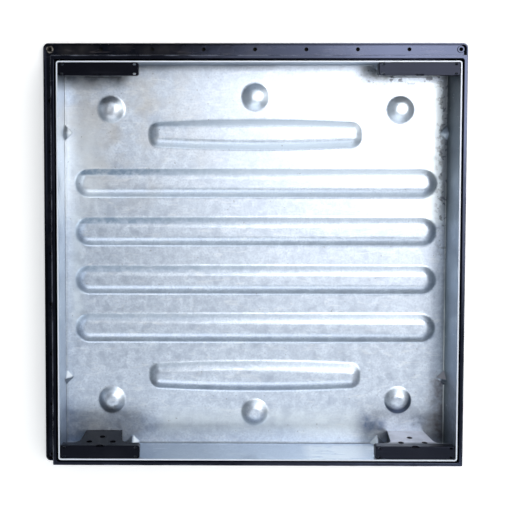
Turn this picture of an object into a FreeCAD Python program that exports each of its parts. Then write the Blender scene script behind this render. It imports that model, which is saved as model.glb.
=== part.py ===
# Recessed paving cover, in millimetres with +Z up.
# A pressed, galvanised steel tray, to be filled with paving blocks, stands in a moulded
# plastic frame and has a moulded block in each corner.
# The origin is the centre of the frame's flat base.

import FreeCAD, Part
import math
import os

from FreeCAD import Vector

# Tray sheet
TRAY_SIDE = 450.0
TRAY_DEPTH = 46.0
SHEET = 1.5
BEND_RADIUS = 1.2
TRAY_CORNER = 2.8

# Pressed ribs and bumps, which stand up from the tray's floor
PRESS_RISE = 4.8
PRESS_RUN = 9.25
FOOT_RADIUS = 6.0
CREST_RADIUS = 12.5
RIB_PITCH = 57.1
LONG_RIBS = 4
LONG_RIB_WIDTH = 34.5
LONG_RIB_END_GAP = 11.6
SHORT_RIB_LENGTH = 249.5
SHORT_RIB_WIDTH = 36.6
SHORT_RIB_BULGE = 2.9
SHORT_RIB_CORNER = 12.5
BUMP_DIAMETER = 32.0
BUMP_FROM_SIDE = 54.5
BUMP_FROM_END = 51.7
MIDDLE_BUMP_FROM_END = 37.0

# Stiffening darts across the bend between floor and wall
DART_REACH = 10.0
DART_RIDGE_RADIUS = 3.0
DART_FROM_CORNER = 79.0

# Frame moulding
FLANGE_WIDTH = 17.0
FLANGE_THICK = 4.0
FLANGE_CORNER = 6.0
LIP_RISE = 5.0
LIP_THICK = 2.0
WALL_THICK = 4.0
WALL_DRAFT = 1.5
WALL_CORNER = 1.5
WELL_CORNER = 2.5
TRAY_GAP = 2.5
TRAY_PROUD = 1.0
SEAT_HEIGHT = 16.5
SEAT_WIDTH = 15.5
SEAT_THICK = 4.0
SEAT_SKIRT = 3.0
WEB_THICK = 3.0
FIXING_HOLE = 4.7
FIXING_HOLE_INSET = 7.0
FIXING_HOLE_SPACES = 8
CORNER_BOSS = 8.6
CORNER_BOSS_RISE = 1.0
CORNER_BOSS_EDGE = 0.5
WALL_EDGE_RADIUS = 0.6
LIP_EDGE_RADIUS = 0.6

# Corner blocks
BLOCK_LENGTH = 90.0
BLOCK_DEPTH = 14.6
BLOCK_FIT = 0.3
BLOCK_BELOW_RIM = 0.5
BLOCK_WALL = 1.6
BLOCK_CORNER = 2.5
BLOCK_EDGE_RADIUS = 0.7
SKIRT_DEPTH = 9.0
FLARE_RADIUS = 9.5
STEM_TOP_WIDTH = 48.0
STEM_FOOT_WIDTH = 42.0
FACE_HOLE = 6.8
FACE_HOLE_SPREAD = 27.0
FACE_HOLES_DOWN = 11.5
LOW_FACE_HOLE_DOWN = 25.5
PLATE_SLOT_LENGTH = 3.6
PLATE_SLOT_WIDTH = 2.4
PLATE_SLOT_FROM_END = 4.75
PLATE_SLOT_FROM_EDGE = 2.1
ARM_END_SOLID = 8.0
NOTCH_WIDTH = 9.0
NOTCH_DROP = 3.0

# Levels and places that follow from the sizes above
TRAY_HALF = TRAY_SIDE / 2
TRAY_INSIDE_HALF = TRAY_HALF - SHEET
UNDERSIDE_Z = SEAT_HEIGHT
FLOOR_Z = UNDERSIDE_Z + SHEET
RIM_Z = FLOOR_Z + TRAY_DEPTH
FRAME_TOP_Z = RIM_Z - TRAY_PROUD
WELL_HALF = TRAY_HALF + TRAY_GAP
WALL_TOP_HALF = WELL_HALF + WALL_THICK
WALL_FOOT_HALF = WALL_TOP_HALF + WALL_DRAFT
FLANGE_HALF = WALL_FOOT_HALF + FLANGE_WIDTH
FLANGE_SIDE = 2 * FLANGE_HALF
SEAT_EDGE_HALF = WELL_HALF - SEAT_WIDTH
HOLE_LINE = FLANGE_HALF - FIXING_HOLE_INSET
HOLE_PITCH = 2 * HOLE_LINE / FIXING_HOLE_SPACES
BLOCK_TOP_Z = RIM_Z - BLOCK_BELOW_RIM
OVERCUT = 1.0
UP = Vector(0, 0, 1)
FLANK_SLOPE = math.atan2(PRESS_RISE, PRESS_RUN)
SHEET_INSET = SHEET * math.tan(FLANK_SLOPE / 2)
DART_RECESS_REACH = DART_REACH + SHEET * (2 - math.sqrt(3))


def rounded_rectangle(half_x, half_y, radius, z):
    """Closed outline of four lines and four corner arcs, round the Z axis."""
    edges = []
    corners = [(1, 1, 0), (-1, 1, 90), (-1, -1, 180), (1, -1, 270)]
    arcs = []
    for side_x, side_y, start in corners:
        centre = Vector(side_x * (half_x - radius), side_y * (half_y - radius), z)
        arcs.append(Part.makeCircle(radius, centre, UP, start, start + 90))
    for arc, following in zip(arcs, arcs[1:] + arcs[:1]):
        edges.append(arc)
        edges.append(Part.makeLine(arc.lastVertex().Point, following.firstVertex().Point))
    return Part.Wire(edges)


def slab(half_x, half_y, radius, bottom, top):
    """Upright block with rounded corners, centred on the Z axis."""
    outline = rounded_rectangle(half_x, half_y, radius, bottom)
    return Part.Face(outline).extrude(UP * (top - bottom))


def square_slab(half, radius, bottom, top):
    return slab(half, half, radius, bottom, top)


def fillet_level(solid, z, radius, within):
    """Rounds the edges that lie flat at height z, inside a square of half side within."""
    chosen = []
    for edge in solid.Edges:
        box = edge.BoundBox
        reach = max(abs(box.XMin), abs(box.XMax), abs(box.YMin), abs(box.YMax))
        if abs(box.ZMin - z) < 0.01 and abs(box.ZMax - z) < 0.01 and reach < within:
            chosen.append(edge)
    return solid.makeFillet(radius, chosen)


def long_rib_outline(inset, z):
    """Straight rib with round ends, drawn in from its foot by inset."""
    radius = LONG_RIB_WIDTH / 2 - inset
    half_straight = TRAY_INSIDE_HALF - LONG_RIB_END_GAP - LONG_RIB_WIDTH / 2
    return rounded_ends(half_straight, radius, z)


def rounded_ends(half_straight, radius, z):
    right = Part.makeCircle(radius, Vector(half_straight, 0, z), UP, -90, 90)
    left = Part.makeCircle(radius, Vector(-half_straight, 0, z), UP, 90, 270)
    top = Part.makeLine(right.lastVertex().Point, left.firstVertex().Point)
    bottom = Part.makeLine(left.lastVertex().Point, right.firstVertex().Point)
    return Part.Wire([right, top, left, bottom])


def short_rib_outline(inset, z):
    """Barrel-shaped rib: long sides bowed outward, ends straight, corners round."""
    half_length = SHORT_RIB_LENGTH / 2 - inset
    half_width = SHORT_RIB_WIDTH / 2 - inset
    corner = SHORT_RIB_CORNER - inset
    half_chord = SHORT_RIB_LENGTH / 2 - SHORT_RIB_CORNER
    bow = (half_chord ** 2 + SHORT_RIB_BULGE ** 2) / (2 * SHORT_RIB_BULGE) - inset
    corner_x = half_length - corner
    corner_y = half_width - bow + math.sqrt((bow - corner) ** 2 - corner_x ** 2)
    lean = math.degrees(math.asin(corner_x / (bow - corner)))
    edges = []
    for turn in (0, 180):
        side = -1 if turn else 1
        centre = Vector(0, side * (half_width - bow), z)
        lower = Vector(side * corner_x, -side * corner_y, z)
        upper = Vector(side * corner_x, side * corner_y, z)
        edges.append(Part.makeCircle(corner, lower, UP, turn - 90 + lean, turn))
        edges.append(Part.makeLine(lower + Vector(side * corner, 0, 0), upper + Vector(side * corner, 0, 0)))
        edges.append(Part.makeCircle(corner, upper, UP, turn, turn + 90 - lean))
        edges.append(Part.makeCircle(bow, centre, UP, turn + 90 - lean, turn + 90 + lean))
    return Part.Wire(edges)


def bump_outline(inset, z):
    return Part.Wire(Part.makeCircle(BUMP_DIAMETER / 2 - inset, Vector(0, 0, z), UP))


def pressings():
    """Outline and place of every rib and bump."""
    places = []
    first_row = -(LONG_RIBS - 1) / 2
    for row in range(LONG_RIBS):
        places.append((long_rib_outline, 0, (first_row + row) * RIB_PITCH))
    short_row = (LONG_RIBS + 1) / 2 * RIB_PITCH
    bump_x = TRAY_INSIDE_HALF - BUMP_FROM_SIDE
    bump_y = TRAY_INSIDE_HALF - BUMP_FROM_END
    for side in (-1, 1):
        places.append((short_rib_outline, 0, side * short_row))
        places.append((bump_outline, 0, side * (TRAY_INSIDE_HALF - MIDDLE_BUMP_FROM_END)))
        places.append((bump_outline, -bump_x, side * bump_y))
        places.append((bump_outline, bump_x, side * bump_y))
    return places


def pressed_form(outline, x, y, inset, z):
    """Flat-topped form with sloping flanks, its foot drawn in by inset."""
    foot = outline(inset, z)
    crest = outline(inset + PRESS_RUN, z + PRESS_RISE)
    form = Part.makeLoft([foot, crest], True, True)
    form.translate(Vector(x, y, 0))
    return form


def dart_form(reach, extent):
    """Three-sided gusset form in the corner of floor (z = 0) and wall (y = 0).

    Its flanks meet the floor, the wall and the bend line at reach from the corner.
    The form goes on by extent behind floor and wall."""
    half_base = reach + 2 * extent
    far = reach + extent
    left = Vector(-half_base, extent, -extent)
    right = Vector(half_base, extent, -extent)
    on_floor = Vector(0, -far, -extent)
    on_wall = Vector(0, extent, far)
    faces = []
    for corners in ((left, right, on_floor), (left, right, on_wall),
                    (left, on_floor, on_wall), (right, on_floor, on_wall)):
        faces.append(Part.Face(Part.makePolygon(list(corners) + [corners[0]])))
    form = Part.Solid(Part.Shell(faces))
    if form.Volume < 0:
        form.reverse()
    ridge = [edge for edge in form.Edges if abs(edge.BoundBox.XLength) < 0.01]
    return form.makeFillet(DART_RIDGE_RADIUS, ridge)


def add_darts(solid, reach, wall_half, floor_z):
    """Cuts two darts into the foot of each of the four walls."""
    place = TRAY_INSIDE_HALF - DART_FROM_CORNER
    dart = dart_form(reach, SHEET + OVERCUT)
    for quarter in range(4):
        for side in (-1, 1):
            form = dart.copy()
            form.translate(Vector(side * place, wall_half, floor_z))
            form.rotate(Vector(), UP, 90 * quarter)
            solid = solid.cut(form)
    return solid


def make_tray():
    """Folded and pressed sheet: the outer body less the hollow inside it."""
    body = square_slab(TRAY_HALF, TRAY_CORNER, UNDERSIDE_Z, RIM_Z)
    body = fillet_level(body, UNDERSIDE_Z, BEND_RADIUS + SHEET, TRAY_SIDE)
    hollow = square_slab(TRAY_INSIDE_HALF, TRAY_CORNER - SHEET, FLOOR_Z, RIM_Z + OVERCUT)
    hollow = fillet_level(hollow, FLOOR_Z, BEND_RADIUS, TRAY_SIDE)
    for outline, x, y in pressings():
        hollow = hollow.cut(pressed_form(outline, x, y, 0, FLOOR_Z))
        body = body.cut(pressed_form(outline, x, y, SHEET_INSET, UNDERSIDE_Z))
    inside = TRAY_INSIDE_HALF - BEND_RADIUS - OVERCUT
    hollow = fillet_level(hollow, FLOOR_Z, FOOT_RADIUS, inside)
    hollow = fillet_level(hollow, FLOOR_Z + PRESS_RISE, CREST_RADIUS, inside)
    body = fillet_level(body, UNDERSIDE_Z, FOOT_RADIUS + SHEET, inside)
    body = fillet_level(body, UNDERSIDE_Z + PRESS_RISE, CREST_RADIUS - SHEET, inside)
    hollow = add_darts(hollow, DART_REACH, TRAY_INSIDE_HALF, FLOOR_Z)
    body = add_darts(body, DART_RECESS_REACH, TRAY_HALF, UNDERSIDE_Z)
    return body.cut(hollow)


def flange_plate():
    """Base flange with a raised lip round its edge."""
    plate = square_slab(FLANGE_HALF, FLANGE_CORNER, 0, FLANGE_THICK + LIP_RISE)
    dish = square_slab(FLANGE_HALF - LIP_THICK, FLANGE_CORNER - LIP_THICK, FLANGE_THICK,
                       FLANGE_THICK + LIP_RISE + OVERCUT)
    plate = plate.cut(dish)
    return fillet_level(plate, FLANGE_THICK + LIP_RISE, LIP_EDGE_RADIUS, FLANGE_SIDE)


def upstand():
    """Drafted wall, still solid inside, thinner at its top than at its foot."""
    foot = rounded_rectangle(WALL_FOOT_HALF, WALL_FOOT_HALF, WALL_CORNER, 0)
    top = rounded_rectangle(WALL_TOP_HALF, WALL_TOP_HALF, WALL_CORNER, FRAME_TOP_Z)
    return Part.makeLoft([foot, top], True, True)


def seat_channel():
    """Hollow under the tray's seat, open below and divided by webs."""
    outer_half = WALL_FOOT_HALF - WALL_THICK
    inner_half = SEAT_EDGE_HALF + SEAT_SKIRT
    top = SEAT_HEIGHT - SEAT_THICK
    channel = square_slab(outer_half, WELL_CORNER, -OVERCUT, top)
    channel = channel.cut(square_slab(inner_half, WELL_CORNER, -2 * OVERCUT, top + OVERCUT))
    webs_each_side = FIXING_HOLE_SPACES // 2 - 1
    for index in range(-webs_each_side, webs_each_side + 1):
        web = Part.makeBox(WEB_THICK, 2 * FLANGE_SIDE, top + 2 * OVERCUT,
                           Vector(-WEB_THICK / 2 + index * HOLE_PITCH, -FLANGE_SIDE, -OVERCUT))
        across = web.copy()
        across.rotate(Vector(), UP, 90)
        channel = channel.cut(web).cut(across)
    return channel


def corner_bosses():
    """Low boss round the nail hole in each corner of the flange."""
    boss = Part.makeCylinder(CORNER_BOSS / 2, CORNER_BOSS_RISE + FLANGE_THICK / 2,
                             Vector(HOLE_LINE, HOLE_LINE, FLANGE_THICK / 2))
    boss = fillet_level(boss, FLANGE_THICK + CORNER_BOSS_RISE, CORNER_BOSS_EDGE, FLANGE_SIDE)
    bosses = []
    for quarter in range(4):
        turned = boss.copy()
        turned.rotate(Vector(), UP, 90 * quarter)
        bosses.append(turned)
    return bosses


def fixing_holes():
    """Row of nail holes along each side of the flange, with one at each corner."""
    holes = []
    steps = [-HOLE_LINE + index * HOLE_PITCH for index in range(FIXING_HOLE_SPACES + 1)]
    for x in steps:
        for y in steps:
            if max(abs(x), abs(y)) > HOLE_LINE - HOLE_PITCH / 2:
                holes.append(Part.makeCylinder(FIXING_HOLE / 2, FLANGE_THICK + 2 * OVERCUT,
                                               Vector(x, y, -OVERCUT)))
    return holes


def make_frame():
    """One moulding: flange and lip, drafted wall, and an inward seat for the tray."""
    frame = flange_plate().fuse([upstand()] + corner_bosses())
    frame = frame.cut(square_slab(WELL_HALF, WELL_CORNER, SEAT_HEIGHT, FRAME_TOP_Z + OVERCUT))
    frame = fillet_level(frame, FRAME_TOP_Z, WALL_EDGE_RADIUS, FLANGE_SIDE)
    frame = frame.cut(square_slab(SEAT_EDGE_HALF, WELL_CORNER, -OVERCUT, SEAT_HEIGHT + OVERCUT))
    frame = frame.cut(seat_channel())
    frame = frame.cut(Part.Compound(fixing_holes()))
    return frame.removeSplitter()


def block_silhouette():
    """Front view of a corner block: wide plate and skirt above a narrower stem."""
    half = BLOCK_LENGTH / 2
    skirt_z = BLOCK_TOP_Z - SKIRT_DEPTH
    neck = STEM_TOP_WIDTH / 2
    foot = STEM_FOOT_WIDTH / 2
    bend = FLARE_RADIUS * (1 - math.sqrt(0.5))
    points = {}
    for name, side in (("left", -1), ("right", 1)):
        points[name] = [Vector(side * half, 0, BLOCK_TOP_Z), Vector(side * half, 0, skirt_z),
                        Vector(side * (neck + FLARE_RADIUS), 0, skirt_z),
                        Vector(side * (neck + bend), 0, skirt_z - bend),
                        Vector(side * neck, 0, skirt_z - FLARE_RADIUS),
                        Vector(side * foot, 0, FLOOR_Z)]
    edges = [Part.makeLine(points["left"][0], points["right"][0]),
             Part.makeLine(points["left"][5], points["right"][5])]
    for side_points in points.values():
        corner, skirt, flare_start, flare_middle, flare_end, foot_corner = side_points
        edges.append(Part.makeLine(corner, skirt))
        edges.append(Part.makeLine(skirt, flare_start))
        edges.append(Part.Arc(flare_start, flare_middle, flare_end).toShape())
        edges.append(Part.makeLine(flare_end, foot_corner))
    return Part.Wire(Part.__sortEdges__(edges))


def stem_pocket():
    """Hollow inside the stem, open towards the tray's wall."""
    neck = STEM_TOP_WIDTH / 2 - BLOCK_WALL
    foot = STEM_FOOT_WIDTH / 2 - BLOCK_WALL
    flare_end = BLOCK_TOP_Z - SKIRT_DEPTH - FLARE_RADIUS
    outline = [Vector(-foot, BLOCK_WALL, FLOOR_Z + BLOCK_WALL), Vector(foot, BLOCK_WALL, FLOOR_Z + BLOCK_WALL),
               Vector(neck, BLOCK_WALL, flare_end), Vector(neck, BLOCK_WALL, BLOCK_TOP_Z - BLOCK_WALL),
               Vector(-neck, BLOCK_WALL, BLOCK_TOP_Z - BLOCK_WALL), Vector(-neck, BLOCK_WALL, flare_end)]
    face = Part.Face(Part.makePolygon(outline + [outline[0]]))
    return face.extrude(Vector(0, BLOCK_DEPTH, 0))


def arm_pocket(side):
    """Hollow under one arm of the plate, open below and towards the tray's wall.

    The end of the arm stays solid, for the slots that run down through it."""
    neck = STEM_TOP_WIDTH / 2
    length = BLOCK_LENGTH / 2 - ARM_END_SOLID - neck
    height = SKIRT_DEPTH + FLARE_RADIUS + OVERCUT - BLOCK_WALL
    start = neck if side > 0 else -neck - length
    corner = Vector(start, BLOCK_WALL, BLOCK_TOP_Z - BLOCK_WALL - height)
    return Part.makeBox(length, BLOCK_DEPTH, height, corner)


def block_holes():
    """Three holes in the face, two slots through each arm end and a notch in the top edge."""
    cuts = []
    ahead = Vector(0, -OVERCUT, 0)
    through_face = BLOCK_WALL + 2 * OVERCUT
    for x, down in ((-FACE_HOLE_SPREAD / 2, FACE_HOLES_DOWN), (FACE_HOLE_SPREAD / 2, FACE_HOLES_DOWN),
                    (0, LOW_FACE_HOLE_DOWN)):
        cuts.append(Part.makeCylinder(FACE_HOLE / 2, through_face,
                                      ahead + Vector(x, 0, BLOCK_TOP_Z - down), Vector(0, 1, 0)))
    from_middle = BLOCK_LENGTH / 2 - PLATE_SLOT_FROM_END
    half_straight = (PLATE_SLOT_LENGTH - PLATE_SLOT_WIDTH) / 2
    outline = rounded_ends(half_straight, PLATE_SLOT_WIDTH / 2, BLOCK_TOP_Z - SKIRT_DEPTH - OVERCUT)
    slot = Part.Face(outline).extrude(UP * (SKIRT_DEPTH + 2 * OVERCUT))
    for x in (-from_middle, from_middle):
        for y in (PLATE_SLOT_FROM_EDGE, BLOCK_DEPTH - PLATE_SLOT_FROM_EDGE):
            placed = slot.copy()
            placed.translate(Vector(x, y, 0))
            cuts.append(placed)
    notch_radius = ((NOTCH_WIDTH / 2) ** 2 + NOTCH_DROP ** 2) / (2 * NOTCH_DROP)
    cuts.append(Part.makeCylinder(notch_radius, BLOCK_WALL + OVERCUT,
                                  ahead + Vector(0, 0, BLOCK_TOP_Z - NOTCH_DROP + notch_radius), Vector(0, 1, 0)))
    return cuts


def make_corner_block():
    """Hollow moulding with its face on y = 0 and its open back towards +Y."""
    body = Part.Face(block_silhouette()).extrude(Vector(0, BLOCK_DEPTH, 0))
    plan = slab(BLOCK_LENGTH / 2, BLOCK_DEPTH / 2, BLOCK_CORNER, 0, RIM_Z)
    plan.translate(Vector(0, BLOCK_DEPTH / 2, 0))
    body = fillet_level(body.common(plan), BLOCK_TOP_Z, BLOCK_EDGE_RADIUS, BLOCK_LENGTH)
    relief = BEND_RADIUS + BLOCK_FIT
    heel = Part.makePolygon([Vector(-BLOCK_LENGTH, BLOCK_DEPTH + OVERCUT, FLOOR_Z - OVERCUT),
                             Vector(-BLOCK_LENGTH, BLOCK_DEPTH - relief - OVERCUT, FLOOR_Z - OVERCUT),
                             Vector(-BLOCK_LENGTH, BLOCK_DEPTH + OVERCUT, FLOOR_Z + relief + OVERCUT),
                             Vector(-BLOCK_LENGTH, BLOCK_DEPTH + OVERCUT, FLOOR_Z - OVERCUT)])
    body = body.cut(Part.Face(heel).extrude(Vector(2 * BLOCK_LENGTH, 0, 0)))
    for hollow in [stem_pocket(), arm_pocket(-1), arm_pocket(1)] + block_holes():
        body = body.cut(hollow)
    return body


def place_block(block, side_x, side_y):
    """Stands a block against the end wall at side_y, in the corner at side_x."""
    reach = TRAY_INSIDE_HALF - BLOCK_FIT
    placed = block.copy()
    placed.translate(Vector(0, reach - BLOCK_DEPTH, 0))
    if side_y < 0:
        placed.rotate(Vector(), UP, 180)
    placed.translate(Vector(side_x * (reach - BLOCK_LENGTH / 2), 0, 0))
    return placed


def main():
    os.makedirs("parts", exist_ok=True)
    nodes = {"frame": make_frame(), "tray": make_tray()}
    block = make_corner_block()
    for end, side_y in (("front", -1), ("back", 1)):
        for hand, side_x in (("left", -1), ("right", 1)):
            nodes["corner_block_" + end + "_" + hand] = place_block(block, side_x, side_y)
    for name, shape in nodes.items():
        shape.exportStep("parts/" + name + ".step")
        print(name, "valid", shape.isValid(), "solids", len(shape.Solids), "volume", round(shape.Volume))


main()
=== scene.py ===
import bpy
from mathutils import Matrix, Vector


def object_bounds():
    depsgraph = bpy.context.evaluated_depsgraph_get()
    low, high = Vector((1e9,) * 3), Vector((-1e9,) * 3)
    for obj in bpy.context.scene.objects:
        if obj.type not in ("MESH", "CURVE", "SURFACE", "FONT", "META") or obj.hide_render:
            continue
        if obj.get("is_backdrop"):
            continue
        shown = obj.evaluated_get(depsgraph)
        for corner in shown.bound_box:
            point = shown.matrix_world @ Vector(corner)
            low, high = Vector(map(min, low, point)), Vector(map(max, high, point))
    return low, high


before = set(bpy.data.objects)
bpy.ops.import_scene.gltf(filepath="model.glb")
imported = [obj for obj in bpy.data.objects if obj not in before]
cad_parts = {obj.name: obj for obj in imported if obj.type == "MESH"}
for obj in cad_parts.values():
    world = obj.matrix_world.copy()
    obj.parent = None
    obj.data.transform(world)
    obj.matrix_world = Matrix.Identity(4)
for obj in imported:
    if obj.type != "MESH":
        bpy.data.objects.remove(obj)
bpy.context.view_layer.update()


# Frame: one moulding in black polypropylene, with a nailing flange and an upright wall.
# It comes glossy out of the mould. Handling has left dull scuffs, fine scratches and lint on the
# back flange; a grey line along the wall's top edge and a ring on one boss are painted highlights.
class Finish:
    """The material of one kind of piece, with its pattern laid out on the piece itself."""

    def __init__(self, name):
        self.material = bpy.data.materials.new(name)
        self.material.use_nodes = True
        self.nodes = self.material.node_tree.nodes
        self.links = self.material.node_tree.links
        self.shader = self.nodes["Principled BSDF"]
        self.place = self.nodes.new("ShaderNodeTexCoord").outputs["Object"]
        self.axes = self.split(self.place)

    def split(self, place):
        """Coordinates parted into x, y and z."""
        node = self.nodes.new("ShaderNodeSeparateXYZ")
        self.links.new(place, node.inputs["Vector"])
        return node.outputs

    def noise(self, scale, detail, stretch=(1, 1, 1), turn=0.0, distortion=0.0):
        """Noise value over the piece; scale is in features a metre."""
        mapping = self.nodes.new("ShaderNodeMapping")
        mapping.inputs["Scale"].default_value = stretch
        mapping.inputs["Rotation"].default_value = (0, 0, turn)
        self.links.new(self.place, mapping.inputs["Vector"])
        texture = self.nodes.new("ShaderNodeTexNoise")
        texture.inputs["Scale"].default_value = scale
        texture.inputs["Detail"].default_value = detail
        texture.inputs["Distortion"].default_value = distortion
        self.links.new(mapping.outputs["Vector"], texture.inputs["Vector"])
        return texture.outputs["Fac"]

    def spread(self, value, low_in, high_in, low_out=0.0, high_out=1.0):
        """Value moved from one range to another, held at the ends."""
        node = self.nodes.new("ShaderNodeMapRange")
        node.inputs["From Min"].default_value = low_in
        node.inputs["From Max"].default_value = high_in
        node.inputs["To Min"].default_value = low_out
        node.inputs["To Max"].default_value = high_out
        self.links.new(value, node.inputs["Value"])
        return node.outputs["Result"]

    def calculate(self, operation, first, second=None, constant=0.0):
        """One sum done on a value, with a second value or a constant."""
        node = self.nodes.new("ShaderNodeMath")
        node.operation = operation
        node.inputs[1].default_value = constant
        self.links.new(first, node.inputs[0])
        if second is not None:
            self.links.new(second, node.inputs[1])
        return node.outputs["Value"]

    def product(self, *values):
        """All the values multiplied together, so each one limits where a mark shows."""
        result = values[0]
        for value in values[1:]:
            result = self.calculate("MULTIPLY", result, value)
        return result

    def highest(self, *values):
        """The highest of the values, which puts their marks side by side."""
        result = values[0]
        for value in values[1:]:
            result = self.calculate("MAXIMUM", result, value)
        return result

    def reach(self):
        """How far out from the middle, measured square to the nearer pair of sides."""
        across = self.calculate("ABSOLUTE", self.axes["X"])
        along = self.calculate("ABSOLUTE", self.axes["Y"])
        return self.highest(across, along)

    def distance(self, point):
        """How far from a point on the piece."""
        node = self.nodes.new("ShaderNodeVectorMath")
        node.operation = "DISTANCE"
        node.inputs[1].default_value = point
        self.links.new(self.place, node.inputs[0])
        return node.outputs["Value"]

    def blend(self, amount, first, second):
        """Colour between first and second; each is a colour or another node's output."""
        node = self.nodes.new("ShaderNodeMix")
        node.data_type = "RGBA"
        self.links.new(amount, node.inputs["Factor"])
        for socket, colour in ((node.inputs[6], first), (node.inputs[7], second)):
            if isinstance(colour, tuple):
                socket.default_value = (*colour, 1)
            else:
                self.links.new(colour, socket)
        return node.outputs[2]

    def lay(self, colour, marks):
        """Marks laid over a colour in turn; each is a mask, its depth and its own colour."""
        for mask, depth, tone in marks:
            colour = self.blend(self.spread(mask, 0.0, 1.0, 0.0, depth), colour, tone)
        return colour

    def feed(self, socket, value):
        """Joins a value to one of the shader's sockets."""
        self.links.new(value, self.shader.inputs[socket])

    def relief(self, layers):
        """Bumps over one another; each is a height, its depth in metres and its strength."""
        normal = None
        for height, depth, strength in layers:
            bump = self.nodes.new("ShaderNodeBump")
            bump.inputs["Distance"].default_value = depth
            bump.inputs["Strength"].default_value = strength
            self.links.new(height, bump.inputs["Height"])
            if normal is not None:
                self.links.new(normal, bump.inputs["Normal"])
            normal = bump.outputs["Normal"]
        self.feed("Normal", normal)

    def dress(self, node_name):
        """Puts the material in place of the plain one on a piece of the cover."""
        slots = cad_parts[node_name].data.materials
        slots.clear()
        slots.append(self.material)


def worn_plastic(plastic, black, scuff):
    """Colour of black moulded plastic with dull scuffs and a few fine scratches."""
    patches = plastic.noise(14, 5)
    hairs = plastic.noise(60, 2, stretch=(0.12, 6, 1), turn=0.5)
    scuffed = plastic.blend(plastic.spread(patches, 0.52, 0.72), black, scuff)
    scratch = tuple(2.2 * part for part in scuff)
    return plastic.blend(plastic.spread(hairs, 0.70, 0.76), scuffed, scratch), patches


WALL_EDGE = 0.2315
WALL_TOP = 0.063
BACK_FLANGE = 0.232
RING_BOSS = (-0.243, 0.243, 0.005)
FRAME_BLACK = (0.0025, 0.0025, 0.004)
FRAME_SCUFF = (0.010, 0.010, 0.014)
EDGE_HIGHLIGHT_GREY = (0.11, 0.12, 0.15)
DUST = (0.060, 0.055, 0.052)
RING_HIGHLIGHT_TONE = (0.24, 0.22, 0.19)
LINT = (0.050, 0.044, 0.046)

moulding = Finish("black_polypropylene")
across, along, height = moulding.axes
colour, patches = worn_plastic(moulding, FRAME_BLACK, FRAME_SCUFF)
# Painted highlight along the top edge of the wall
edge_highlight = moulding.product(
    moulding.spread(moulding.reach(), WALL_EDGE - 0.0016, WALL_EDGE - 0.0004),
    moulding.spread(height, WALL_TOP - 0.0022, WALL_TOP - 0.0006),
    moulding.spread(moulding.noise(55, 4), 0.40, 0.62))
dusty = moulding.product(
    moulding.spread(height, 0.010, 0.004),
    moulding.spread(moulding.noise(26, 6), 0.50, 0.72))
# Painted highlight in a ring round the boss at the back left corner
from_boss = moulding.distance(RING_BOSS)
ring_highlight = moulding.product(
    moulding.spread(from_boss, 0.0026, 0.0031),
    moulding.spread(from_boss, 0.0048, 0.0043),
    moulding.spread(moulding.noise(300, 2), 0.38, 0.52))
linty = moulding.product(
    moulding.spread(along, BACK_FLANGE, BACK_FLANGE + 0.002),
    moulding.spread(moulding.noise(150, 3, stretch=(0.25, 1.6, 1)), 0.60, 0.70))
moulding.feed("Base Color", moulding.lay(colour, (
    (edge_highlight, 1.0, EDGE_HIGHLIGHT_GREY),
    (dusty, 0.5, DUST),
    (ring_highlight, 1.0, RING_HIGHLIGHT_TONE),
    (linty, 0.8, LINT))))
moulding.feed("Roughness", moulding.spread(patches, 0.3, 0.7, 0.08, 0.13))
moulding.feed("Specular IOR Level", moulding.spread(across, -0.04, 0.16, 0.34, 1.0))
moulding.shader.inputs["Specular Tint"].default_value = (0.54, 0.63, 1.0, 1)
ripple = moulding.noise(45, 2)
grain = moulding.noise(1800, 2)
moulding.relief(((ripple, 0.0006, 0.25), (grain, 0.00006, 0.30)))
moulding.dress("frame")


# Tray: one steel sheet, pressed and folded, then dipped in zinc, which set in a fine spangle.
# It is stained at the back left and pitted at the back right, and the rim's cut edge is pale.
# Shadows and shade by the blocks, on the walls and in creases, pale light on parts of the floor,
# and highlights on darts, slopes and a bend are all painted.
FLOOR = 0.018
CREST = 0.0228
RIM = 0.064
WALL = 0.2235
PAST_WALL = 0.2236
RIB_PITCH = 0.0571
SLOPE_START = 0.0085
SLOPE_END = 0.0175
BUMP_RADIUS = 0.016
DART_LINE = 0.1445
DART_NEAR = 0.1360
DART_FAR = 0.1530
DART_FOOT = 0.2120
ZINC_LIGHT = (0.79, 0.87, 0.98)
ZINC_DARK = (0.52, 0.59, 0.71)
ZINC_PALE = (0.92, 0.95, 0.99)
STAIN = (0.58, 0.53, 0.46)
BLOCK_SHADOW = (0.08, 0.09, 0.11)
BEND_SHADE = (0.17, 0.19, 0.22)
PAINTED_LIGHT_PALE = (0.86, 0.94, 1.0)


def stray(zinc, scale, amount):
    """The piece's coordinates pushed about by noise, which makes edges ragged."""
    drift = zinc.nodes.new("ShaderNodeTexNoise")
    drift.inputs["Scale"].default_value = scale
    drift.inputs["Detail"].default_value = 4
    zinc.links.new(zinc.place, drift.inputs["Vector"])
    centred = zinc.nodes.new("ShaderNodeVectorMath")
    centred.operation = "SUBTRACT"
    centred.inputs[1].default_value = (0.5, 0.5, 0.5)
    zinc.links.new(drift.outputs["Color"], centred.inputs[0])
    moved = zinc.nodes.new("ShaderNodeVectorMath")
    moved.operation = "MULTIPLY_ADD"
    moved.inputs[1].default_value = (amount, amount, amount)
    zinc.links.new(centred.outputs["Vector"], moved.inputs[0])
    zinc.links.new(zinc.place, moved.inputs[2])
    return moved.outputs["Vector"]


def patch(zinc, axes, x, y, soft):
    """Mask of a soft-edged rectangle, from its two ranges and its edges' width."""
    return zinc.product(
        zinc.spread(axes["X"], x[0], x[0] + soft),
        zinc.spread(axes["X"], x[1], x[1] - soft),
        zinc.spread(axes["Y"], y[0], y[0] + soft),
        zinc.spread(axes["Y"], y[1], y[1] - soft))


zinc = Finish("galvanised_zinc")
across, along, height = zinc.axes
outward = zinc.reach()

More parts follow.
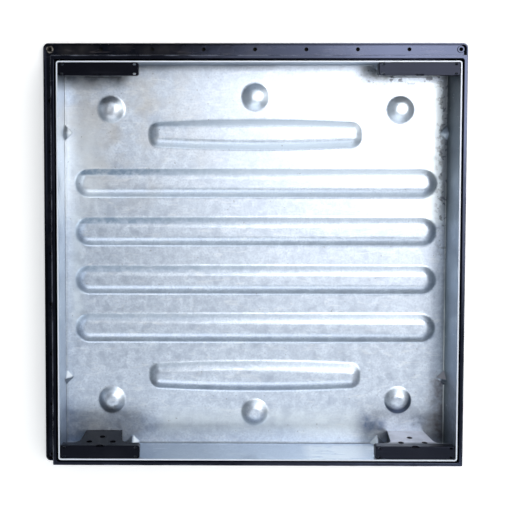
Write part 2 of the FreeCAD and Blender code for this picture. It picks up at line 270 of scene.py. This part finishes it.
# Mottling, spangle, grit, clouds and feathery crystals
spangle = zinc.nodes.new("ShaderNodeTexVoronoi")
spangle.inputs["Scale"].default_value = 105
zinc.links.new(stray(zinc, 70, 0.012), spangle.inputs["Vector"])
flake = zinc.nodes.new("ShaderNodeSeparateColor")
zinc.links.new(spangle.outputs["Color"], flake.inputs["Color"])
mottle = zinc.noise(120, 4, distortion=0.6)
mottled = zinc.blend(zinc.spread(mottle, 0.28, 0.72), ZINC_DARK, ZINC_LIGHT)
grit = zinc.noise(430, 3)
cloud = zinc.noise(11, 5)
feather = zinc.noise(95, 4, stretch=(0.5, 2.0, 1), turn=2.4, distortion=1.2)
marks = [
    (flake.outputs["Red"], 0.35, ZINC_LIGHT),
    (zinc.spread(grit, 0.44, 0.64), 0.55, ZINC_DARK),
    (zinc.spread(cloud, 0.35, 0.75), 0.32, ZINC_DARK),
    (zinc.spread(feather, 0.56, 0.70), 0.35, ZINC_PALE)]

# Brown stains at the back left, and a paler strip beside them along the left wall
stained = zinc.product(
    zinc.spread(across, -0.03, -0.12),
    zinc.spread(along, 0.03, 0.12),
    zinc.spread(zinc.noise(22, 6), 0.46, 0.66))
pale_strip = zinc.product(
    zinc.spread(across, -0.165, -0.195),
    zinc.spread(along, 0.03, 0.07),
    zinc.spread(along, 0.18, 0.13))
marks += [(stained, 0.42, STAIN), (pale_strip, 0.55, (0.90, 0.95, 1.0))]

# Painted shadows and shade on the floor by the four blocks, and a dark brownish band by the right
# wall at the front: straight or ragged, how even, the two ranges, softness, depth and colour
straight = zinc.axes
ragged = zinc.split(stray(zinc, 34, 0.034))
smooth = zinc.spread(zinc.noise(60, 5), 0.30, 0.60, 0.62, 1.0)
grainy = zinc.spread(zinc.noise(170, 5), 0.36, 0.60, 0.45, 1.0)
for axes, even, x, y, soft, depth, tone in (
        (straight, smooth, (-0.240, -0.146), (0.193, 0.250), 0.014, 0.93, BLOCK_SHADOW),
        (straight, smooth, (-0.160, -0.094), (0.211, 0.250), 0.012, 0.42, BLOCK_SHADOW),
        (ragged, grainy, (-0.250, -0.192), (-0.250, -0.166), 0.022, 0.50, (0.16, 0.25, 0.44)),
        (ragged, grainy, (-0.180, -0.108), (-0.228, -0.176), 0.020, 0.28, (0.12, 0.24, 0.50)),
        (ragged, grainy, (0.119, 0.158), (-0.214, -0.187), 0.011, 0.66, (0.09, 0.18, 0.40)),
        (ragged, grainy, (0.182, 0.212), (-0.208, -0.184), 0.009, 0.62, (0.16, 0.22, 0.34)),
        (ragged, grainy, (0.200, 0.250), (-0.250, -0.136), 0.018, 0.80, (0.22, 0.20, 0.22)),
        (ragged, grainy, (0.118, 0.165), (0.204, 0.236), 0.009, 0.66, (0.19, 0.20, 0.20))):
    marks.append((zinc.product(patch(zinc, axes, x, y, soft), even), depth, tone))

# Painted shade at the feet of the pressings, and on the back slopes of the long ribs towards the
# back left
foot_shade = zinc.product(
    zinc.spread(height, FLOOR + 0.0002, FLOOR + 0.0008),
    zinc.spread(height, FLOOR + 0.0032, FLOOR + 0.0018),
    zinc.spread(outward, WALL - 0.0045, WALL - 0.0065))
from_middle = zinc.calculate("SUBTRACT", along, constant=RIB_PITCH / 2)
from_rib = zinc.calculate("FLOORED_MODULO", from_middle, constant=RIB_PITCH)
back_slope_shade = zinc.product(
    zinc.spread(from_rib, SLOPE_START, SLOPE_START + 0.0020),
    zinc.spread(from_rib, SLOPE_END, SLOPE_END - 0.0015),
    zinc.spread(height, FLOOR + 0.0001, FLOOR + 0.0007),
    zinc.spread(height, CREST + 0.0002, CREST - 0.0006),
    zinc.spread(across, 0.02, -0.16),
    zinc.spread(along, 0.158, 0.154),
    zinc.spread(along, -0.10, 0.06, 0.15, 1.0),
    zinc.spread(outward, WALL - 0.0085, WALL - 0.0105),
    grainy)
marks += [(foot_shade, 0.36, (0.26, 0.33, 0.39)), (back_slope_shade, 0.90, (0.22, 0.30, 0.40))]

# Bends between the floor and each wall: where, from how high up the wall to where, depth
for bend, high, low, depth in (
        (zinc.spread(along, WALL - 0.0085, WALL - 0.0020), 0.0280, 0.0080, 0.42),
        (zinc.spread(along, -WALL + 0.0019, -WALL + 0.0009), 0.0035, 0.0015, 0.62),
        (zinc.spread(across, WALL - 0.0050, WALL - 0.0009), 0.0240, 0.0040, 0.55),
        (zinc.spread(across, -WALL + 0.0035, -WALL + 0.0007), 0.0080, 0.0020, 0.40)):
    up_wall = zinc.spread(height, FLOOR + high, FLOOR + low)
    marks.append((zinc.product(bend, up_wall, smooth), depth, BEND_SHADE))

# Painted shade along the foot of the back wall, deepest close to it
near_back = zinc.spread(along, WALL - 0.0085, WALL - 0.0003)
back_foot_shade = zinc.product(
    near_back, near_back, smooth,
    zinc.spread(height, FLOOR + 0.0080, FLOOR + 0.0020),
    zinc.spread(across, -0.150, -0.135),
    zinc.spread(across, 0.045, -0.010))
marks.append((back_foot_shade, 0.60, (0.06, 0.07, 0.09)))

# Painted shade on the walls: all four darker than the floor, the back and front ones darker towards
# the left
wall_shade = zinc.product(
    zinc.spread(outward, WALL - 0.0020, WALL - 0.0007),
    zinc.spread(height, FLOOR + 0.0040, FLOOR + 0.0080))
back_wall_shade = zinc.product(
    zinc.spread(along, WALL - 0.0013, WALL - 0.0005),
    zinc.spread(across, 0.10, 0.0))
front_wall_shade = zinc.product(
    zinc.spread(along, -WALL + 0.0013, -WALL + 0.0005),
    zinc.spread(across, -0.02, -0.07))
marks += [
    (wall_shade, 0.50, (0.32, 0.38, 0.45)),
    (back_wall_shade, 0.60, (0.18, 0.21, 0.26)),
    (front_wall_shade, 0.28, (0.22, 0.26, 0.32))]

# Right wall: darker and greener low down, painted shade at its back end, pale at its middle, and a
# painted highlight along its bend
right_wall = zinc.spread(across, WALL - 0.0010, WALL - 0.0003)
darker_low_down = zinc.product(
    right_wall,
    zinc.spread(height, FLOOR + 0.028, FLOOR + 0.008),
    zinc.spread(zinc.noise(70, 4, stretch=(1, 0.3, 1)), 0.35, 0.60, 0.15, 0.60))
back_end_shade = zinc.product(right_wall, zinc.spread(along, 0.04, 0.19))
pale_middle = zinc.product(
    right_wall,
    zinc.spread(height, FLOOR + 0.002, FLOOR + 0.008),
    zinc.spread(along, -0.075, -0.025),
    zinc.spread(along, 0.055, 0.005))
bend_highlight = zinc.product(
    zinc.spread(across, WALL - 0.0012, WALL - 0.0009),
    zinc.spread(across, WALL + 0.0001, WALL - 0.0002),
    zinc.spread(height, FLOOR + 0.0017, FLOOR + 0.0012),
    zinc.spread(zinc.noise(25, 2), 0.35, 0.55, 0.2, 0.9))
marks += [
    (darker_low_down, 1.0, (0.26, 0.32, 0.31)),
    (back_end_shade, 0.80, (0.10, 0.11, 0.12)),
    (pale_middle, 0.40, (0.72, 0.82, 0.92)),
    (bend_highlight, 1.0, (0.82, 0.85, 0.84))]

# Pale streaks on the front wall, right of the middle
streaks = zinc.product(
    patch(zinc, straight, (0.052, 0.150), (-0.240, -0.218), 0.012),
    zinc.spread(height, FLOOR + 0.004, FLOOR + 0.010),
    zinc.spread(zinc.noise(60, 5, stretch=(1, 1, 3)), 0.26, 0.48))
marks.append((streaks, 0.95, (0.95, 0.97, 0.95)))

# Darts: painted shade on the faces turned from the light, with its colours, then painted highlights
# on the faces turned to it
raised = zinc.spread(height, FLOOR + 0.0002, FLOOR + 0.0014)
for x, y, tone in (
        ((-PAST_WALL, -DART_FOOT), (-DART_FAR, -DART_LINE), (0.22, 0.26, 0.31)),
        ((-PAST_WALL, -0.2200), (DART_NEAR, DART_FAR), (0.28, 0.32, 0.36)),
        ((DART_FOOT, PAST_WALL), (-DART_LINE, -DART_NEAR), (0.62, 0.58, 0.60)),
        ((0.2190, PAST_WALL), (-DART_FAR, -DART_LINE), (0.14, 0.17, 0.19)),
        ((-0.1550, -DART_LINE), (-PAST_WALL, -DART_FOOT), (0.40, 0.45, 0.52))):
    marks.append((zinc.product(patch(zinc, straight, x, y, 0.0008), raised), 0.85, tone))
dart_highlight = zinc.highest(*[
    zinc.product(patch(zinc, straight, x, y, 0.0016), raised) for x, y in (
        ((-0.2228, -0.2128), (-DART_LINE, -DART_NEAR)),
        ((-0.2200, -0.2128), (0.1380, 0.1510)),
        ((DART_FOOT, 0.2190), (-DART_FAR, -DART_LINE)),
        ((0.2150, 0.2215), (DART_NEAR, DART_LINE)),
        ((-DART_LINE, -0.1340), (-0.2226, -0.2128)),
        ((0.1340, DART_LINE), (-PAST_WALL, -DART_FOOT)))])
marks.append((dart_highlight, 1.0, (0.86, 0.93, 1.0)))

# Painted highlight on the slopes of the pressings at the back right
slopes = zinc.highest(
    zinc.spread(height, CREST - 0.0004, CREST - 0.0016),
    zinc.spread(along, 0.158, 0.161))
slope_highlight = zinc.product(
    raised, slopes,
    zinc.spread(outward, WALL - 0.0035, WALL - 0.0055),
    zinc.spread(across, -0.12, 0.02),
    zinc.spread(along, 0.04, 0.12))
marks.append((slope_highlight, 0.75, (0.80, 0.90, 1.0)))

# Painted shade in dark crescents at the foot of two front bumps: the bump, middle of its lit side,
# depth
for bump, lit_side, depth in (
        ((0.1690, -0.1718, 0.020), (0.1670, -0.1668, 0.020), 0.85),
        ((-0.1690, -0.1718, 0.020), (-0.1650, -0.1678, 0.020), 0.40)):
    shade_crescent = zinc.product(
        zinc.spread(zinc.distance(bump), BUMP_RADIUS + 0.0005, BUMP_RADIUS - 0.0005),
        zinc.spread(zinc.distance(lit_side), BUMP_RADIUS - 0.0030, BUMP_RADIUS))
    marks.append((shade_crescent, depth, (0.07, 0.10, 0.17)))

# Painted light in pale bands on the floor: along the front, at the back of the right side, at the
# left
on_floor = zinc.spread(height, FLOOR + 0.0025, FLOOR + 0.0010)
for x, y, soft, depth in (
        ((-0.120, 0.130), (-0.217, -0.178), 0.014, 0.60),
        ((0.196, 0.2225), (0.035, 0.205), 0.006, 1.0),
        ((-0.2235, -0.198), (-0.092, 0.058), 0.012, 0.65)):
    light_band = patch(zinc, straight, x, y, soft)
    marks.append((zinc.product(light_band, on_floor, smooth), depth, PAINTED_LIGHT_PALE))

# Painted shadow with a ragged edge by the right wall, and pits at the back right
frayed = zinc.split(stray(zinc, 110, 0.018))
right_wall_shadow = zinc.product(
    zinc.spread(frayed["X"], WALL - 0.0083, WALL - 0.0053),
    zinc.spread(along, 0.03, 0.07),
    on_floor)
by_edge = zinc.highest(zinc.spread(across, 0.208, 0.219), zinc.spread(along, 0.197, 0.206))
pits = zinc.product(
    zinc.spread(across, 0.11, 0.13),
    zinc.spread(along, -0.02, 0.04),
    by_edge, on_floor,
    zinc.spread(zinc.noise(190, 3), 0.56, 0.62))
marks += [(right_wall_shadow, 0.60, (0.16, 0.18, 0.21)), (pits, 0.80, (0.13, 0.14, 0.17))]

# Specks and fine scratches all over, and the rim's cut edge
specks = zinc.noise(260, 2)
hairs = zinc.noise(90, 2, stretch=(0.3, 4, 1), turn=0.9, distortion=0.4)
edge = zinc.spread(height, RIM - 0.0006, RIM - 0.0003)
marks += [
    (zinc.spread(specks, 0.70, 0.78), 0.55, (0.26, 0.27, 0.30)),
    (zinc.spread(hairs, 0.69, 0.76), 0.40, (0.86, 0.89, 0.94)),
    (edge, 1.0, (0.73, 0.78, 0.87))]
zinc.feed("Base Color", zinc.lay(mottled, marks))

# The cut edge, the painted highlights on the darts and the streaks shine less like bare metal
less_metallic = zinc.highest(edge, dart_highlight, zinc.spread(streaks, 0.0, 1.0, 0.0, 0.4))
zinc.feed("Metallic", zinc.spread(less_metallic, 0.0, 1.0, 0.88, 0.10))
zinc.feed("Roughness", zinc.spread(mottle, 0.3, 0.7, 0.34, 0.45))
buckle = zinc.noise(9, 2)
zinc.relief(((buckle, 0.004, 0.20), (flake.outputs["Green"], 0.0002, 0.10), (mottle, 0.0004, 0.12)))
zinc.dress("tray")


# Corner blocks: four alike hollow mouldings in matt black plastic.
# Each stands on the tray's floor against an end wall, with its plate just under the rim.
# The front right one has a pale painted reflection over the face of its stem.
STEM_FACE = -0.2086
BLOCK_BLACK = (0.003, 0.003, 0.005)
BLOCK_SCUFF = (0.008, 0.008, 0.011)
STEM_REFLECTION_PALE = (0.72, 0.74, 0.84)

block = Finish("matt_black_plastic")
across, along, height = block.axes
colour, patches = worn_plastic(block, BLOCK_BLACK, BLOCK_SCUFF)
# Painted reflection, pale, over the face of the front right block's stem
stem_reflection = block.product(
    block.spread(across, 0.140, 0.150),
    block.spread(along, STEM_FACE - 0.0010, STEM_FACE - 0.0002),
    block.spread(along, STEM_FACE + 0.0030, STEM_FACE + 0.0010),
    block.spread(height, 0.0560, 0.0500),
    block.spread(block.noise(40, 4), 0.2, 0.6, 0.5, 1.0))
block.feed("Base Color", block.blend(stem_reflection, colour, STEM_REFLECTION_PALE))
block.feed("Roughness", block.spread(patches, 0.3, 0.7, 0.25, 0.35))
block.feed("Specular IOR Level", block.spread(across, -0.05, 0.05, 0.12, 0.32))
block.shader.inputs["Specular Tint"].default_value = (0.60, 0.68, 1.0, 1)
ripple = block.noise(45, 2)
grain = block.noise(1400, 2)
block.relief(((ripple, 0.0005, 0.25), (grain, 0.00008, 0.40)))
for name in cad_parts:
    if name.startswith("corner_block"):
        block.dress(name)


# Ground: a plain white sheet that the frame stands on, seen all round it from above.
# It takes the frame's soft shadow, and is painted dark with shade where the frame covers it.
FOOTPRINT = 0.250
GROUND_SIZE = 12
WHITE = (0.93, 0.93, 0.93)
SHADE_UNDER_FRAME = (0.02, 0.02, 0.02)

bpy.ops.object.select_all(action="DESELECT")
bpy.ops.mesh.primitive_plane_add(size=GROUND_SIZE, location=(0, 0, 0))
ground = bpy.context.object
ground.name = "ground"
paper = Finish("white_paper")
paper.shader.inputs["Roughness"].default_value = 0.9
paper.shader.inputs["Specular IOR Level"].default_value = 0.0
fibres = paper.noise(3, 2)
paper.relief(((fibres, 0.002, 0.05),))
outside = paper.spread(paper.reach(), FOOTPRINT - 0.004, FOOTPRINT)
paper.feed("Base Color", paper.blend(outside, SHADE_UNDER_FRAME, WHITE))
seen = paper.nodes.new("ShaderNodeLightPath").outputs
direct = paper.highest(seen["Is Camera Ray"], seen["Is Glossy Ray"], seen["Is Transmission Ray"])
glow = paper.spread(paper.product(direct, outside), 0.0, 1.0, 0.0, 0.34)
paper.shader.inputs["Emission Color"].default_value = (1, 1, 1, 1)
paper.feed("Emission Strength", glow)
ground.data.materials.append(paper.material)
ground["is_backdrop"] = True


# Light: a large soft box and a smaller one above the back right corner, which give the
# tray its broad bright patch there, a pale panel behind and one in front.
def soft_box(name, place, width, height, energy, colour):
    """A rectangular lamp at a place, turned to face the middle of the cover."""
    bpy.ops.object.light_add(type="AREA", location=place)
    lamp = bpy.context.object
    lamp.name = name
    lamp.data.shape = "RECTANGLE"
    lamp.data.size = width
    lamp.data.size_y = height
    lamp.data.energy = energy
    lamp.data.color = colour
    lamp.rotation_euler = (-Vector(place)).to_track_quat("-Z", "Y").to_euler()


soft_box("key", (1.45, 0.75, 2.2), 2.4, 2.2, 37, (1.0, 0.97, 0.92))
soft_box("top_box", (0.75, 0.35, 2.5), 0.9, 1.6, 15, (1.0, 0.98, 0.96))
soft_box("back_panel", (0, 1.9, 1.8), 2.4, 1.4, 9, (0.92, 0.96, 1.0))
soft_box("front_panel", (0, -1.8, 2.0), 2.4, 1.3, 18, (0.92, 0.96, 1.0))

world = bpy.data.worlds.new("surround")
bpy.context.scene.world = world
world.use_nodes = True
surround = world.node_tree.nodes["Background"].inputs
surround["Color"].default_value = (0.83, 0.92, 1.0, 1)
surround["Strength"].default_value = 0.24


# Camera: above the tray, looking down, a little towards the back and left of its middle.
# The lens is shifted a little, which sets the cover in the picture without tilting it.
camera_data = bpy.data.cameras.new("camera")
camera_data.sensor_width = 36
camera_data.lens = 55.30
camera_data.shift_x = 0.12
camera_data.shift_y = -0.20
camera = bpy.data.objects.new("camera", camera_data)
bpy.context.scene.collection.objects.link(camera)
camera.location = (-0.065766, 0.157196, 0.934965)
camera.rotation_euler = (-0.039553, 0.00709, 0.000239)
bpy.context.scene.camera = camera
bpy.context.scene.view_settings.view_transform = "Standard"

low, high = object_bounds()
